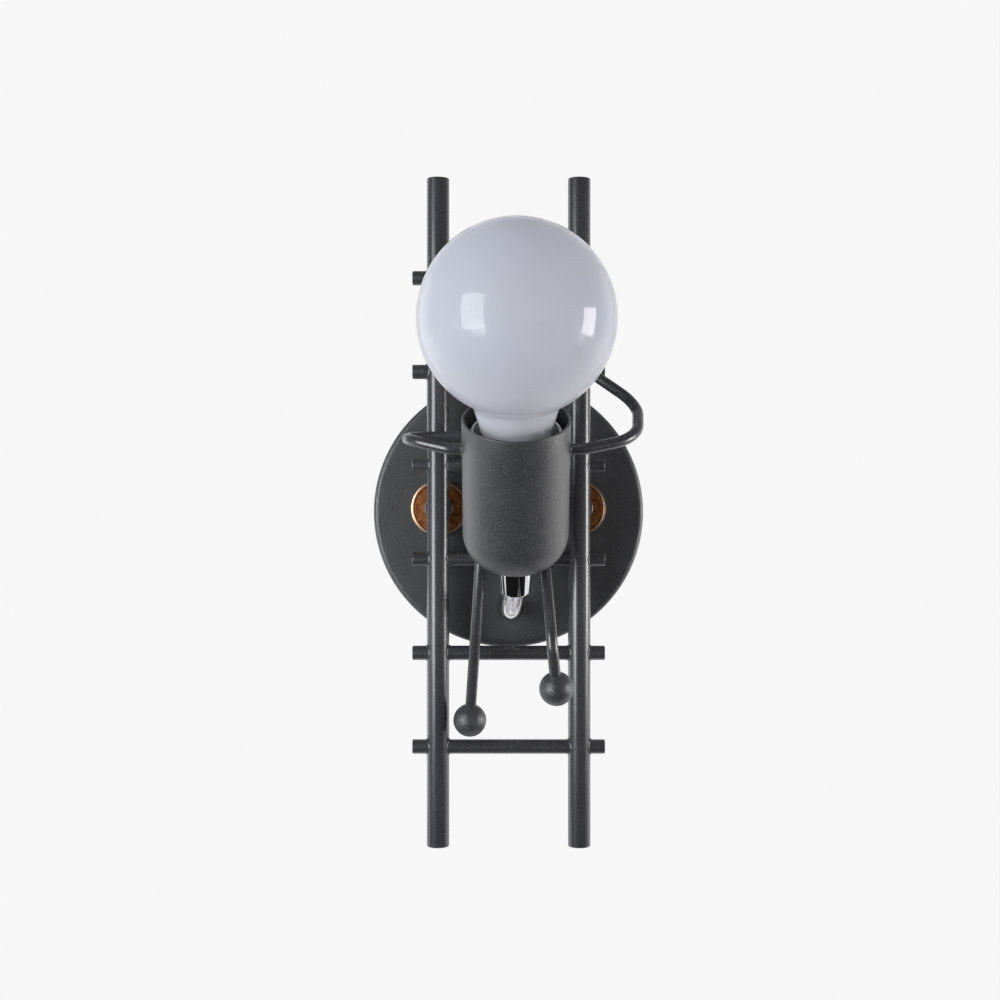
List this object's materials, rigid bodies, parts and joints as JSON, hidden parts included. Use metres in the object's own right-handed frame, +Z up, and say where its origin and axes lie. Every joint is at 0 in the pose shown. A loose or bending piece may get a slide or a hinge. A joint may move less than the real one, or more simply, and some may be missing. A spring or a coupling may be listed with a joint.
{
  "type": "wall light",
  "caption": "Wall light shaped as a figure climbing a ladder: round canopy, rail and rung ladder, leaning lamp cup with rod limbs and ball feet, and an opal globe bulb that unscrews.",
  "frame": {"origin": "centre of the canopy on the wall plane", "axes": "+Z up, +Y into the wall, so the light stands out toward -Y"},
  "size_m": [0.123, 0.1543, 0.298],
  "materials": {
    "powder_coat": "fine-textured satin charcoal powder coat on steel",
    "zinc_steel": "zinc-plated steel",
    "copper": "oiled copper, turned",
    "brass": "bright brass",
    "chrome": "polished chrome",
    "white_plastic": "natural polyamide",
    "black_rubber": "soft black rubber",
    "porcelain": "glazed porcelain",
    "clear_pvc": "clear soft PVC",
    "wire_insulation": "white wire insulation",
    "opal_glass": "glossy opal glass, unlit",
    "cap_metal": "nickel-plated lamp cap",
    "black_glass": "black vitrite",
    "clear_glass": "clear lamp glass",
    "phosphor": "yellow phosphor coat"
  },
  "bodies": {
    "fixture": {"canopy": "powder_coat", "left_post": "powder_coat", "right_post": "powder_coat", "left_rail": "powder_coat", "right_rail": "powder_coat", "rung_1": "powder_coat", "rung_2": "powder_coat", "rung_3": "powder_coat", "rung_4": "powder_coat", "rung_5": "powder_coat", "rung_6": "powder_coat", "lamp_cup": "powder_coat", "left_arm": "powder_coat", "right_arm": "powder_coat", "left_leg": "powder_coat", "right_leg": "powder_coat", "left_foot": "powder_coat", "right_foot": "powder_coat", "wall_bracket": "zinc_steel", "canopy_side_screws": "zinc_steel", "terminal_screws": "zinc_steel", "terminal_block_screw": "zinc_steel", "post_screws": "zinc_steel", "post_spring_washers": "zinc_steel", "nipple": "zinc_steel", "cup_lock_nut": "zinc_steel", "socket_yoke": "zinc_steel", "yoke_nut": "zinc_steel", "yoke_screws": "zinc_steel", "socket_terminal_screws": "zinc_steel", "left_washer": "copper", "right_washer": "copper", "earth_screw": "brass", "terminal_inserts": "brass", "socket_shell": "brass", "socket_contact": "brass", "socket_rivets": "brass", "socket_terminals": "brass", "gland_nut": "chrome", "terminal_block": "white_plastic", "lead_grommet": "black_rubber", "socket_body": "porcelain", "lead_sleeve": "clear_pvc", "lead_wires": "wire_insulation"},
    "bulb_tip": {"bulb_contact": "cap_metal"},
    "bulb": {"bulb_globe": "opal_glass", "bulb_neck": "opal_glass", "bulb_cap": "cap_metal", "bulb_insulator": "black_glass", "bulb_stem": "clear_glass", "bulb_filaments": "phosphor"}
  },
  "joints": [
    {"name": "bulb_lift", "type": "slide", "parent": "fixture", "child": "bulb_tip", "axis": [0, -0.4695, 0.8829], "range_m": [0, 0.0218]},
    {"name": "bulb_turn", "type": "hinge", "parent": "bulb_tip", "child": "bulb", "pos_m": [0.0028, -0.0936, 0.0389], "axis": [0, -0.4695, 0.8829], "range_deg": [0, 2160]}
  ],
  "couplings": [
    {"joint": "bulb_lift", "follows": "bulb_turn", "m_per_rad": 0.00057757}
  ]
}
